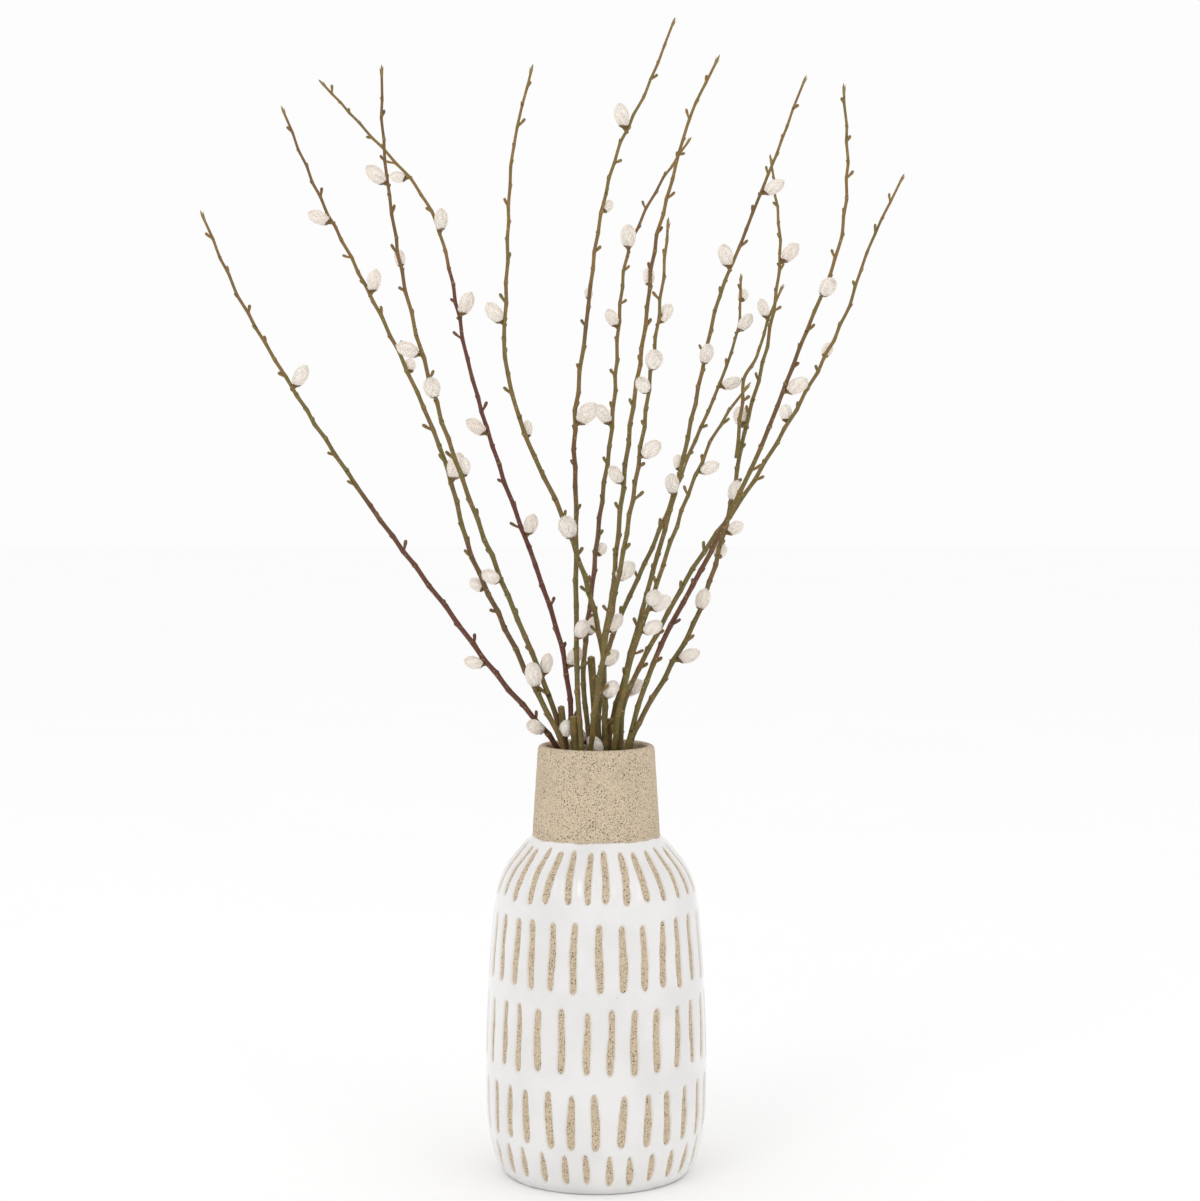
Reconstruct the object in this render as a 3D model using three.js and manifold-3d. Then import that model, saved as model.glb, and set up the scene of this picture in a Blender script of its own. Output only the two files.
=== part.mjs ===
// Pussy willow stems standing in a tall speckled stoneware vase.
// Millimetres, +Z up. The origin is the centre of the vase's flat underside; the front faces -Y.

import * as THREE from 'three';
import { mergeVertices } from 'three/addons/utils/BufferGeometryUtils.js';
import Module from 'manifold-3d';

const wasm = await Module();
wasm.setup();

// ---- driving dimensions ----
const vaseHeight = 295.5;
const creaseHeight = 233.7;    // where the bare neck meets the glazed shoulder
const creaseRadius = 43.8;
const lipOuterRadius = 40.2;
const lipRounding = 3;
const footRadius = 62.5;
const floorThickness = 10;
const vaseSegments = 36;
const outerSteps = 16;
const innerSteps = 12;
const lipSteps = 3;

const rodSides = 7;
const rodSteps = 10;
const rodFootSwell = 0.08;     // how much thicker a rod is at its foot, as a share
const shootSides = 5;
const shootSteps = 20;
const shootBaseRadius = 1.85;
const shootTipRadius = 0.95;
const halvings = 24;           // of the span in which a height is sought along a shoot
const twigBaseRadius = 1.35;   // the thin side twig
const tipBudLength = 7;
const tipBudShare = 0.5;       // the tip bud's radius, as a share of the shoot's

const budPitch = 34;           // spacing of the empty buds along a shoot
const budTurn = 144;           // degrees from one bud to the next, round the shoot
const budLength = 7.5;
const budRadius = 1.25;
const budLean = 42;            // degrees away from the shoot
const budFirst = 54;           // distance from a shoot's foot to its first bud
const budClearance = 11;       // a bud this close to a catkin is left out

const catkinRadiusRatio = 0.34;
const catkinLean = 40;
const catkinStandOff = 2.3;    // from the shoot's bark to the catkin's foot
const catkinSides = 6;
const budSides = 3;

// ---- finishes ----
const bareClay = { color: 0xcdb99b, roughness: 0.85, metalness: 0 };
const whiteGlaze = { color: 0xeeeae6, roughness: 0.2, metalness: 0 };
const oliveBark = { color: 0x6e5f32, roughness: 0.7, metalness: 0 };
const tanBark = { color: 0x8a6c3c, roughness: 0.7, metalness: 0 };
const redBark = { color: 0x63362f, roughness: 0.65, metalness: 0 };
const catkinDown = { color: 0xf1ebe0, roughness: 0.95, metalness: 0 };

// ---- the vase's outlines, radius and height ----
const outerSide = [[67.7, 7], [71.4, 18], [74.9, 38], [75.8, 66], [75.4, 100], [73.6, 140], [71.1, 172], [68.1, 196],
  [62.2, 211], [54, 222]];
const innerSide = [[37.2, 232.5], [47.5, 216], [55.8, 204.5], [61.3, 190], [64, 170], [66.6, 138], [68.4, 100],
  [68.8, 66], [67.6, 38], [63.5, 21], [54, 12.5]];

// ---- rods: thick cut stems on the vase's floor, each bearing side shoots ----
const rods = [
  { name: 'rod_1', radius: 2.4, route: [[-7, 4, 11], [-13, 3.5, 165], [-18.2, 2.5, 252], [-24.1, 2, 321]] },
  { name: 'rod_2', radius: 2.9, route: [[2, -9, 11], [-5, -9, 175], [-10.7, -8.5, 260], [-15.1, -8, 315]] },
  { name: 'rod_3', radius: 2.6, route: [[-1, 4, 11], [1, 4, 194], [0.2, 4, 290], [-3.3, 4, 355]] },
  { name: 'rod_4', radius: 2.2, route: [[8, -2, 11], [12, -1, 184], [16.1, -0.3, 280], [17.6, 0, 318]] },
  { name: 'rod_5', radius: 2.4, route: [[5, 16, 11.5], [6, 15.2, 175], [8.2, 14.3, 279], [9.2, 14, 311]] },
];

// ---- shoots: each route runs from its rod to its tip; catkins are [height, bearing, length, lean] ----
// A bearing is in degrees round the shoot: 0 is +X, 90 is the back, 270 the front.
const shoots = [
  {
    name: 'shoot_a', bark: redBark,
    route: [[-26.6, 4, 292], [-34, 3, 303], [-66, -3, 341], [-106, -13, 396], [-159, -26, 470],
      [-213, -42, 557], [-238, -51, 603], [-259, -60, 653]],
    catkins: [[538, 0, 14, 60], [352, 190, 12], [305, 245, 14]],
  },
  {
    name: 'shoot_b', bark: oliveBark,
    route: [[-21.1, -3.5, 275], [-23.5, -8, 297], [-41, -2, 332], [-60, 5, 370], [-87, 16, 428],
      [-105, 26, 490], [-136, 39, 562], [-167, 50, 623], [-197, 60, 681], [-222, 70, 739]],
    catkins: [[657, 190, 14], [606, 345, 14], [551, 60, 11], [476, 320, 17], [402, 135, 12],
      [334, 297, 17], [299, 40, 12]],
  },
  {
    name: 'shoot_c', bark: oliveBark,
    route: [[-19.7, 9.8, 258], [-21.7, 9.4, 290], [-26, 6, 309], [-42, -4, 354], [-63, -16, 406],
      [-89, -32, 476], [-109, -47, 539], [-127, -65, 614], [-137, -84, 696], [-137, -95, 742]],
    catkins: [[669, 195, 14], [616, 90, 11], [560, 190, 14, 50], [533, 275, 15], [478, 60, 12],
      [409, 222, 13], [342, 35, 13]],
  },
  {
    name: 'shoot_d', bark: redBark,
    route: [[-13.7, -2.6, 252], [-15.7, 2, 295], [-23, 16, 357], [-39, 27, 408], [-68, 45, 486],
      [-89, 60, 554], [-118, 85, 668], [-166, 97, 727], [-199, 105, 763]],
    catkins: [[692, 160, 11], [652, 305, 14], [592, 335, 15], [509, 200, 14], [437, 340, 13],
      [347, 345, 13]],
  },
  {
    name: 'shoot_e', bark: oliveBark,
    route: [[4.2, 8.4, 280], [6, 9, 315], [4, 4, 360], [-6, -3, 405], [-24, -8, 455], [-48, -14, 508],
      [-61, -20, 558], [-60, -24, 605], [-55, -34, 696], [-42, -40, 751]],
    catkins: [[582, 185, 14], [505, 65, 11], [438, 275, 17]],
  },
  {
    name: 'shoot_f', bark: redBark,
    route: [[-9.1, -15.1, 266], [-10.1, -14, 297], [-13, -6, 340], [-14, 12, 463], [-15, 19, 512],
      [-7, 29, 583], [2, 39, 654], [16, 47, 708], [37, 54, 753], [55, 60, 799]],
    catkins: [[720, 200, 15], [663, 60, 11], [602, 100, 9], [515, 345, 16], [368, 300, 13]],
  },
  {
    name: 'shoot_g', bark: oliveBark,
    route: [[3.7, -1.4, 255], [6.2, -7, 297], [5, -22, 364], [11, -31, 403], [17, -45, 464], [23, -57, 516],
      [32, -71, 578], [38, -82, 628], [47, -91, 663], [59, -101, 706], [78, -110, 746]],
    catkins: [[603, 100, 11], [475, 215, 13], [411, 330, 15], [374, 40, 13], [352, 320, 13],
      [330, 310, 14], [290, 200, 13]],
  },
  {
    name: 'shoot_h', bark: oliveBark,
    route: [[-3.8, 9, 258], [-4.8, 12, 295], [-9, 25, 341], [-3, 42, 402], [4, 59, 463], [11, 73, 513],
      [17, 97, 601], [23, 107, 641], [47, 121, 692], [69, 130, 725]],
    catkins: [[642, 245, 15], [585, 220, 12], [515, 200, 14], [424, 60, 11], [368, 300, 13],
      [295, 195, 14]],
  },
  {
    name: 'shoot_i', bark: tanBark,
    route: [[-5.3, -8.8, 258], [-3.7, -14, 295], [4, -36, 355], [17, -60, 425], [28, -84, 491],
      [34, -101, 537], [42, -125, 602], [45, -140, 641]],
    catkins: [[577, 50, 12], [550, 275, 15], [534, 230, 12], [493, 335, 14]],
  },
  {
    name: 'shoot_j', bark: tanBark,
    route: [[8.7, 20.6, 251], [8.2, 21.5, 294], [19, 25, 338], [39, 31, 411], [56, 36, 472], [70, 41, 535],
      [85, 47, 601], [104, 51, 649], [125, 55, 702], [147, 60, 759]],
    catkins: [[677, 350, 14], [624, 205, 14], [557, 275, 14], [483, 110, 12], [466, 240, 14],
      [328, 350, 14]],
  },
  {
    name: 'shoot_k', bark: tanBark,
    route: [[17.7, -5.4, 262], [21.5, -11, 296], [42, -20, 361], [77, -29, 429], [109, -38, 497],
      [136, -47, 568], [159, -56, 629], [164, -62, 678], [161, -70, 734]],
    catkins: [[599, 280, 14], [536, 355, 14]],
  },
  {
    name: 'shoot_l', bark: oliveBark,
    route: [[14, 12.2, 270], [16, 11.5, 301], [20, 13, 325], [37, 16, 361], [68, 21, 417], [103, 25, 467],
      [140, 31, 528], [172, 36, 589], [190, 41, 639], [214, 45, 689]],
    catkins: [[562, 95, 12], [516, 140, 12]],
  },
  {
    name: 'shoot_m', bark: oliveBark,
    route: [[20.7, 1.2, 273], [26, 5, 302], [48, 20, 341], [72, 36, 385], [95, 61, 458], [105, 79, 507],
      [124, 103, 577], [134, 126, 644], [128, 150, 715]],
    catkins: [[634, 340, 15], [515, 118, 18], [460, 270, 14], [439, 10, 12], [423, 80, 13],
      [385, 260, 14], [352, 350, 14]],
  },
  {
    name: 'shoot_n', bark: oliveBark,
    route: [[2.4, 17, 264], [1.7, 19.5, 294], [3, 27, 329], [10, 39, 363], [27, 51, 402], [48, 64, 448],
      [68, 79, 499], [84, 89, 534], [102, 104, 585], [105, 115, 625]],
    catkins: [[606, 70, 11], [583, 310, 13], [543, 350, 13, 52]],
  },
  {
    name: 'shoot_o', bark: tanBark,
    route: [[12.1, -5.6, 260], [12.6, -11, 298], [22, -27, 350], [40, -50, 407], [49, -60, 436],
      [64, -76, 478], [79, -89, 511], [99, -100, 540]],
    catkins: [[483, 345, 12], [396, 275, 14], [391, 10, 13], [376, 335, 13]],
  },
  {
    name: 'shoot_p', bark: tanBark, twig: true,
    route: [[99, 65, 492], [103, 73, 525], [106, 80, 550], [115, 85, 565], [123, 90, 591], [134, 95, 616]],
    catkins: [[591, 200, 12]],
  },
];

// Catkins shorter than this are joined to their shoot, the others are pieces of their own.
const smallCatkin = 14;

// ---- helpers ----
const radians = THREE.MathUtils.degToRad;

function toSolid(geometry) {
  const bare = geometry.clone();
  bare.deleteAttribute('normal');
  bare.deleteAttribute('uv');
  const merged = mergeVertices(bare, 1e-4);
  const vertProperties = new Float32Array(merged.attributes.position.array);
  const triVerts = new Uint32Array(merged.index.array);
  return new wasm.Manifold(new wasm.Mesh({ numProp: 3, vertProperties, triVerts }));
}

function toGeometry(solid) {
  const mesh = solid.getMesh();
  const geometry = new THREE.BufferGeometry();
  geometry.setAttribute('position', new THREE.BufferAttribute(new Float32Array(mesh.vertProperties), 3));
  geometry.setIndex(new THREE.BufferAttribute(new Uint32Array(mesh.triVerts), 1));
  geometry.computeVertexNormals();
  return geometry;
}

function makeMesh(name, geometry, finish) {
  const mesh = new THREE.Mesh(geometry, new THREE.MeshStandardMaterial(finish));
  mesh.name = name;
  return mesh;
}

function makeRoute(points) {
  const curve = new THREE.CatmullRomCurve3(points.map((point) => new THREE.Vector3(...point)), false, 'centripetal');
  curve.arcLengthDivisions = 400;
  return curve;
}

// A closed cylinder bent along a curve, its radius given by a function of the way along.
function bentRod(curve, radiusAt, sides, steps) {
  const geometry = new THREE.CylinderGeometry(1, 1, 1, sides, steps);
  const frames = curve.computeFrenetFrames(steps, false);
  const position = geometry.attributes.position;
  const point = new THREE.Vector3();
  for (let i = 0; i < position.count; i += 1) {
    const step = Math.round((position.getY(i) + 0.5) * steps);
    const way = step / steps;
    const radius = radiusAt(way);
    curve.getPointAt(way, point);
    point.addScaledVector(frames.normals[step], position.getZ(i) * radius);
    point.addScaledVector(frames.binormals[step], position.getX(i) * radius);
    position.setXYZ(i, point.x, point.y, point.z);
  }
  return geometry;
}

// ---- the vase: a hollow thrown pot, foot to lip and back down inside, parted at the crease ----
function vaseOutline() {
  const side = [[footRadius, 0], ...outerSide, [creaseRadius, creaseHeight]];
  const outer = new THREE.SplineCurve(side.map((point) => new THREE.Vector2(...point)));
  const inner = new THREE.SplineCurve(innerSide.map((point) => new THREE.Vector2(...point)));
  const lip = new THREE.Path();
  lip.absarc(lipOuterRadius - lipRounding, vaseHeight - lipRounding, lipRounding, 0, Math.PI, false);
  return [
    new THREE.Vector2(0, 0),
    ...outer.getPoints(outerSteps),
    ...lip.getPoints(lipSteps),
    ...inner.getPoints(innerSteps),
    new THREE.Vector2(0, floorThickness),
  ];
}

function makeVase() {
  const turned = new THREE.LatheGeometry(vaseOutline(), vaseSegments);
  turned.rotateX(Math.PI / 2);
  const [neck, body] = toSolid(turned).splitByPlane([0, 0, 1], creaseHeight);
  return [
    makeMesh('vase_body', toGeometry(body), whiteGlaze),
    makeMesh('vase_neck', toGeometry(neck), bareClay),
  ];
}

// ---- rods ----
function makeRod(rod) {
  const radiusAt = (way) => rod.radius * (1 + rodFootSwell * (1 - way));
  const solid = toSolid(bentRod(makeRoute(rod.route), radiusAt, rodSides, rodSteps));
  return makeMesh(rod.name, toGeometry(solid), oliveBark);
}

// ---- shoots ----
function shootRadius(shoot, curve) {
  const base = shoot.twig ? twigBaseRadius : shootBaseRadius;
  const tipStart = 1 - tipBudLength / curve.getLength();
  return (way) => {
    const tapered = THREE.MathUtils.lerp(base, shootTipRadius, way);
    return way > tipStart ? tapered * tipBudShare : tapered;
  };
}

// The way along a shoot, from 0 to 1, at which it reaches a height.
function wayAtHeight(curve, height) {
  let low = 0;
  let high = 1;
  for (let i = 0; i < halvings; i += 1) {
    const middle = (low + high) / 2;
    if (curve.getPointAt(middle).z < height) low = middle;
    else high = middle;
  }
  return low;
}

// A frame on a shoot's bark: its point, and the direction of what grows there.
function growthAt(curve, way, bearing, lean) {
  const along = curve.getTangentAt(way);
  const outward = new THREE.Vector3(Math.cos(radians(bearing)), Math.sin(radians(bearing)), 0);
  outward.addScaledVector(along, -outward.dot(along)).normalize();
  const direction = along.clone().multiplyScalar(Math.cos(radians(lean)));
  direction.addScaledVector(outward, Math.sin(radians(lean)));
  return { point: curve.getPointAt(way), along, outward, direction };
}

// Turns a geometry that grows along +Y so that it grows from a point in a direction.
function plant(geometry, point, direction) {
  const turn = new THREE.Quaternion().setFromUnitVectors(new THREE.Vector3(0, 1, 0), direction);
  geometry.applyQuaternion(turn);
  geometry.translate(point.x, point.y, point.z);
  return geometry;
}

function makeBud(curve, way, bearing) {
  const growth = growthAt(curve, way, bearing, budLean);
  const geometry = new THREE.ConeGeometry(budRadius, budLength, budSides);
  geometry.translate(0, budLength / 2, 0);
  return toSolid(plant(geometry, growth.point, growth.direction));
}

function catkinGeometry(length) {
  const radius = length * catkinRadiusRatio;
  const outline = [[0, 0], [0.62, 0.12], [1, 0.4], [0.72, 0.76], [0, 1]];
  const points = outline.map(([r, h]) => new THREE.Vector2(r * radius, h * length));
  return new THREE.LatheGeometry(points, catkinSides);
}

function makeCatkin(curve, radius, [height, bearing, length, lean = catkinLean], standOff) {
  const growth = growthAt(curve, wayAtHeight(curve, height), bearing, lean);
  const foot = growth.point.addScaledVector(growth.outward, radius + standOff);
  foot.addScaledVector(growth.along, standOff);
  return toSolid(plant(catkinGeometry(length), foot, growth.direction));
}

function makeShoot(shoot, index) {
  const pieces = [];
  const curve = makeRoute(shoot.route);
  const radiusAt = shootRadius(shoot, curve);
  const length = curve.getLength();
  let solid = toSolid(bentRod(curve, radiusAt, shootSides, shootSteps));
  const catkinWays = shoot.catkins.map(([height]) => wayAtHeight(curve, height));
  let bearing = index * 57;
  for (let distance = budFirst; distance < length - budPitch / 2; distance += budPitch) {
    const way = distance / length;
    bearing += budTurn;
    if (catkinWays.some((other) => Math.abs(other - way) * length < budClearance)) continue;
    solid = solid.add(makeBud(curve, way, bearing));
  }
  let number = 0;
  shoot.catkins.forEach((catkin) => {
    const radius = radiusAt(wayAtHeight(curve, catkin[0]));
    if (catkin[2] < smallCatkin) {
      solid = solid.add(makeCatkin(curve, radius, catkin, -1));
      return;
    }
    number += 1;
    const name = `catkin_${shoot.name.slice(-1)}${number}`;
    pieces.push(makeMesh(name, toGeometry(makeCatkin(curve, radius, catkin, catkinStandOff)), catkinDown));
  });
  pieces.unshift(makeMesh(shoot.name, toGeometry(solid), shoot.bark));
  return pieces;
}

// ---- assembly ----
const willow = new THREE.Group();
willow.add(...makeVase());
rods.forEach((rod) => willow.add(makeRod(rod)));
shoots.forEach((shoot, index) => willow.add(...makeShoot(shoot, index)));

export default willow;
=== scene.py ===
"""Pussy willow stems in a speckled stoneware vase, built as a Blender add-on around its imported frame."""

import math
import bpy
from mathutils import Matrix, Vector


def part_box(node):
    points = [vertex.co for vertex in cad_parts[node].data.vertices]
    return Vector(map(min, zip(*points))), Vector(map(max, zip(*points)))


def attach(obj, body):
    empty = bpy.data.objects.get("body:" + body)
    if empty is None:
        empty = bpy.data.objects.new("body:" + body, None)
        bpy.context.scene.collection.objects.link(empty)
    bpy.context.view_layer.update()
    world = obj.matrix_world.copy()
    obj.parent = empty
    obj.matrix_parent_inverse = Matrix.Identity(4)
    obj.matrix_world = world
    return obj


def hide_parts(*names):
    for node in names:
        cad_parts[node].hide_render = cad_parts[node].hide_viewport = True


bl_info = {
    "name": "Willow Stems in a Vase",
    "version": (1, 0, 0),
    "blender": (4, 5, 0),
    "location": "View3D > Sidebar > Willow",
    "description": "Makes pussy willow shoots with furry catkins in a glazed stoneware vase",
    "category": "Add Mesh",
}

import bpy
import numpy as np
from bpy.props import FloatProperty, FloatVectorProperty, IntProperty, PointerProperty
from bpy.types import Operator, Panel, PropertyGroup
from mathutils import Matrix, Vector

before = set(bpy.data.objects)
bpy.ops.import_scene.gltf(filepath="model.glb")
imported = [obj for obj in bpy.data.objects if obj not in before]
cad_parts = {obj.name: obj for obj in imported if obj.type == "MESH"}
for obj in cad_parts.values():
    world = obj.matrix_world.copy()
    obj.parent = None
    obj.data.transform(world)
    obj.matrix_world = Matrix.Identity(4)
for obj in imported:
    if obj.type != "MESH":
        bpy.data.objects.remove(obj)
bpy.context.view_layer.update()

MM = 0.001
TURN = 2 * math.pi
BODY = "root"
TONE_LAYER = "tone"       # the meshes' colour layer that the finishes read

# ---------------------------------------------------------------------------
# Where things grow: the frame's own routes, millimetres from the vase's foot
# ---------------------------------------------------------------------------

# A route runs from the cut end to the top. A catkin is (height, bearing, length) and may add its lean
# from the shoot; the bearing is in degrees round the shoot, 0 to +X and 90 to the back. "red" lists the
# stretches, by their lowest and highest height, where the bark is burgundy, and how far.
RODS = {
    "rod_1": {"radius": 2.4, "route": [(-7, 4, 11), (-13, 3.5, 165), (-18.2, 2.5, 252), (-24.1, 2, 321)]},
    "rod_2": {"radius": 2.9, "route": [(2, -9, 11), (-5, -9, 175), (-10.7, -8.5, 260), (-15.1, -8, 315)]},
    "rod_3": {"radius": 2.6, "route": [(-1, 4, 11), (1, 4, 194), (0.2, 4, 290), (-3.3, 4, 355)]},
    "rod_4": {"radius": 2.2, "route": [(8, -2, 11), (12, -1, 184), (16.1, -0.3, 280), (17.6, 0, 318)]},
    "rod_5": {"radius": 2.4, "route": [(5, 16, 11.5), (6, 15.2, 175), (8.2, 14.3, 279), (9.2, 14, 311)]},
}

SHOOTS = {
    "shoot_a": {
        "route": [(-26.6, 4, 292), (-34, 3, 303), (-66, -3, 341), (-106, -13, 396), (-159, -26, 470),
                  (-213, -42, 557), (-238, -51, 603), (-259, -60, 653)],
        "catkins": [(538, 0, 14, 60), (352, 190, 12), (305, 245, 14)],
        "red": [(290, 470, 0.9)],
    },
    "shoot_b": {
        "route": [(-21.1, -3.5, 275), (-23.5, -8, 297), (-41, -2, 332), (-60, 5, 370), (-87, 16, 428),
                  (-105, 26, 490), (-136, 39, 562), (-167, 50, 623), (-197, 60, 681), (-222, 70, 739)],
        "catkins": [(657, 190, 14), (606, 345, 14), (551, 60, 11), (476, 320, 17),
                    (402, 135, 12), (334, 297, 17), (299, 40, 12)],
        "red": [(340, 430, 0.5), (640, 750, 0.45)],
    },
    "shoot_c": {
        "route": [(-19.7, 9.8, 258), (-21.7, 9.4, 290), (-26, 6, 309), (-42, -4, 354), (-63, -16, 406),
                  (-89, -32, 476), (-109, -47, 539), (-127, -65, 614), (-137, -84, 696), (-137, -95, 742)],
        "catkins": [(669, 195, 14), (616, 90, 11), (560, 190, 14, 50), (533, 275, 15),
                    (478, 60, 12), (409, 222, 13), (342, 35, 13)],
        "red": [(600, 750, 0.45)],
    },
    "shoot_d": {
        "route": [(-13.7, -2.6, 252), (-15.7, 2, 295), (-23, 16, 357), (-39, 27, 408), (-68, 45, 486),
                  (-89, 60, 554), (-118, 85, 668), (-166, 97, 727), (-199, 105, 763)],
        "catkins": [(692, 160, 11), (652, 305, 14), (592, 335, 15), (509, 200, 14),
                    (437, 340, 13), (347, 345, 13)],
        "red": [(290, 640, 1.0)],
    },
    "shoot_e": {
        "route": [(4.2, 8.4, 280), (6, 9, 315), (4, 4, 360), (-6, -3, 405), (-24, -8, 455), (-48, -14, 508),
                  (-61, -20, 558), (-60, -24, 605), (-55, -34, 696), (-42, -40, 751)],
        "catkins": [(582, 185, 14), (505, 65, 11), (438, 275, 17)],
        "red": [],
    },
    "shoot_f": {
        "route": [(-9.1, -15.1, 266), (-10.1, -14, 297), (-13, -6, 340), (-14, 12, 463), (-15, 19, 512),
                  (-7, 29, 583), (2, 39, 654), (16, 47, 708), (37, 54, 753), (55, 60, 799)],
        "catkins": [(720, 200, 15), (663, 60, 11), (602, 100, 9), (515, 345, 16), (368, 300, 13)],
        "red": [(445, 520, 0.6), (560, 620, 0.5)],
    },
    "shoot_g": {
        "route": [(3.7, -1.4, 255), (6.2, -7, 297), (5, -22, 364), (11, -31, 403), (17, -45, 464),
                  (23, -57, 516), (32, -71, 578), (38, -82, 628), (47, -91, 663), (59, -101, 706),
                  (78, -110, 746)],
        "catkins": [(603, 100, 11), (475, 215, 13), (411, 330, 15), (374, 40, 13),
                    (352, 320, 13), (330, 310, 14), (290, 200, 13)],
        "red": [(580, 640, 0.45)],
    },
    "shoot_h": {
        "route": [(-3.8, 9, 258), (-4.8, 12, 295), (-9, 25, 341), (-3, 42, 402), (4, 59, 463),
                  (11, 73, 513), (17, 97, 601), (23, 107, 641), (47, 121, 692), (69, 130, 725)],
        "catkins": [(642, 245, 15), (585, 220, 12), (515, 200, 14), (424, 60, 11),
                    (368, 300, 13), (295, 195, 14)],
        "red": [(365, 445, 0.75), (650, 690, 0.6)],
    },
    "shoot_i": {
        "route": [(-5.3, -8.8, 258), (-3.7, -14, 295), (4, -36, 355), (17, -60, 425), (28, -84, 491),
                  (34, -101, 537), (42, -125, 602), (45, -140, 641)],
        "catkins": [(577, 50, 12), (550, 275, 15), (534, 230, 12), (493, 335, 14)],
        "red": [],
    },
    "shoot_j": {
        "route": [(8.7, 20.6, 251), (8.2, 21.5, 294), (19, 25, 338), (39, 31, 411), (56, 36, 472),
                  (70, 41, 535), (85, 47, 601), (104, 51, 649), (125, 55, 702), (147, 60, 759)],
        "catkins": [(677, 350, 14), (624, 205, 14), (557, 275, 14), (483, 110, 12),
                    (466, 240, 14), (328, 350, 14)],
        "red": [(630, 690, 0.45)],
    },
    "shoot_k": {
        "route": [(17.7, -5.4, 262), (21.5, -11, 296), (42, -20, 361), (77, -29, 429), (109, -38, 497),
                  (136, -47, 568), (159, -56, 629), (164, -62, 678), (161, -70, 734)],
        "catkins": [(599, 280, 14), (536, 355, 14)],
        "red": [(365, 425, 0.85), (510, 565, 0.6)],
    },
    "shoot_l": {
        "route": [(14, 12.2, 270), (16, 11.5, 301), (20, 13, 325), (37, 16, 361), (68, 21, 417),
                  (103, 25, 467), (140, 31, 528), (172, 36, 589), (190, 41, 639), (214, 45, 689)],
        "catkins": [(562, 95, 12), (516, 140, 12)],
        "red": [],
    },
    "shoot_m": {
        "route": [(20.7, 1.2, 273), (26, 5, 302), (48, 20, 341), (72, 36, 385), (95, 61, 458),
                  (105, 79, 507), (124, 103, 577), (134, 126, 644), (128, 150, 715)],
        "catkins": [(634, 340, 15), (515, 118, 18), (460, 270, 14), (439, 10, 12),
                    (423, 80, 13), (385, 260, 14), (352, 350, 14)],
        "red": [],
    },
    "shoot_n": {
        "route": [(2.4, 17, 264), (1.7, 19.5, 294), (3, 27, 329), (10, 39, 363), (27, 51, 402),
                  (48, 64, 448), (68, 79, 499), (84, 89, 534), (102, 104, 585), (105, 115, 625)],
        "catkins": [(606, 70, 11), (583, 310, 13), (543, 350, 13, 52)],
        "red": [],
    },
    "shoot_o": {
        "route": [(12.1, -5.6, 260), (12.6, -11, 298), (22, -27, 350), (40, -50, 407), (49, -60, 436),
                  (64, -76, 478), (79, -89, 511), (99, -100, 540)],
        "catkins": [(483, 345, 12), (396, 275, 14), (391, 10, 13), (376, 335, 13)],
        "red": [],
    },
    "shoot_p": {
        "route": [(99, 65, 492), (103, 73, 525), (106, 80, 550), (115, 85, 565), (123, 90, 591),
                  (134, 95, 616)],
        "catkins": [(591, 200, 12)],
        "red": [],
        "twig": True,
    },
}

# The pot's outlines as (radius, height). The neck runs straight from the crease up to the lip.
OUTER_SIDE = [(62.5, 0), (67.7, 7), (71.4, 18), (74.9, 38), (75.8, 66), (75.4, 100), (73.6, 140),
              (71.1, 172), (68.1, 196), (62.2, 211), (54, 222), (43.8, 233.7)]
INNER_SIDE = [(37.2, 232.5), (47.5, 216), (55.8, 204.5), (61.3, 190), (64, 170), (66.6, 138),
              (68.4, 100), (68.8, 66), (67.6, 38), (63.5, 21), (54, 12.5)]
LIP_RADIUS = 40.2
LIP_ROUNDING = 3.0
CREASE_HEIGHT = 233.7
FLOOR_THICKNESS = 10.0

# Rows of bare dashes in the glaze: lower and upper end, how many go round, the first one's bearing in
# degrees from the front towards +X, and how blunt their ends are.
DASH_ROWS = [
    {"low": 7.4, "high": 29, "count": 29, "first": -5.5, "width": 0.94, "blunt": 2.6},
    {"low": 33.4, "high": 70.5, "count": 28, "first": 0.7, "width": 1.0, "blunt": 8.0},
    {"low": 82.8, "high": 126.6, "count": 28, "first": -5.1, "width": 1.0, "blunt": 11.0},
    {"low": 138, "high": 183.2, "count": 29, "first": 1.2, "width": 1.0, "blunt": 12.0},
    {"low": 195.5, "high": 229, "count": 30, "first": -5.5, "width": 0.94, "blunt": 9.0},
]

# How a shoot thins along its way: above 1 it stays stout for longer.
GIRTH_FALL = 1.5

# ---------------------------------------------------------------------------
# Sizes and colours
# ---------------------------------------------------------------------------


class VaseSettings(PropertyGroup):
    glaze_thickness: FloatProperty(
        name="Glaze thickness", description="How far the glaze stands above the bare clay",
        default=0.85 * MM, unit="LENGTH")
    glaze_bead: FloatProperty(
        name="Glaze bead", description="How much the glaze swells beside each bare dash",
        default=0.28 * MM, unit="LENGTH")
    dash_width: FloatProperty(
        name="Dash width", description="Width of a bare dash at its widest",
        default=5.3 * MM, unit="LENGTH")
    clay_colour: FloatVectorProperty(
        name="Clay", description="Colour of the bare fired clay", subtype="COLOR", size=3,
        default=(0.625, 0.51, 0.365))
    speckle_colour: FloatVectorProperty(
        name="Speckle", description="Colour of the iron specks in the clay", subtype="COLOR", size=3,
        default=(0.085, 0.06, 0.042))
    glaze_colour: FloatVectorProperty(
        name="Glaze", description="Colour of the thick white glaze", subtype="COLOR", size=3,
        default=(0.80, 0.787, 0.775))


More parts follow.
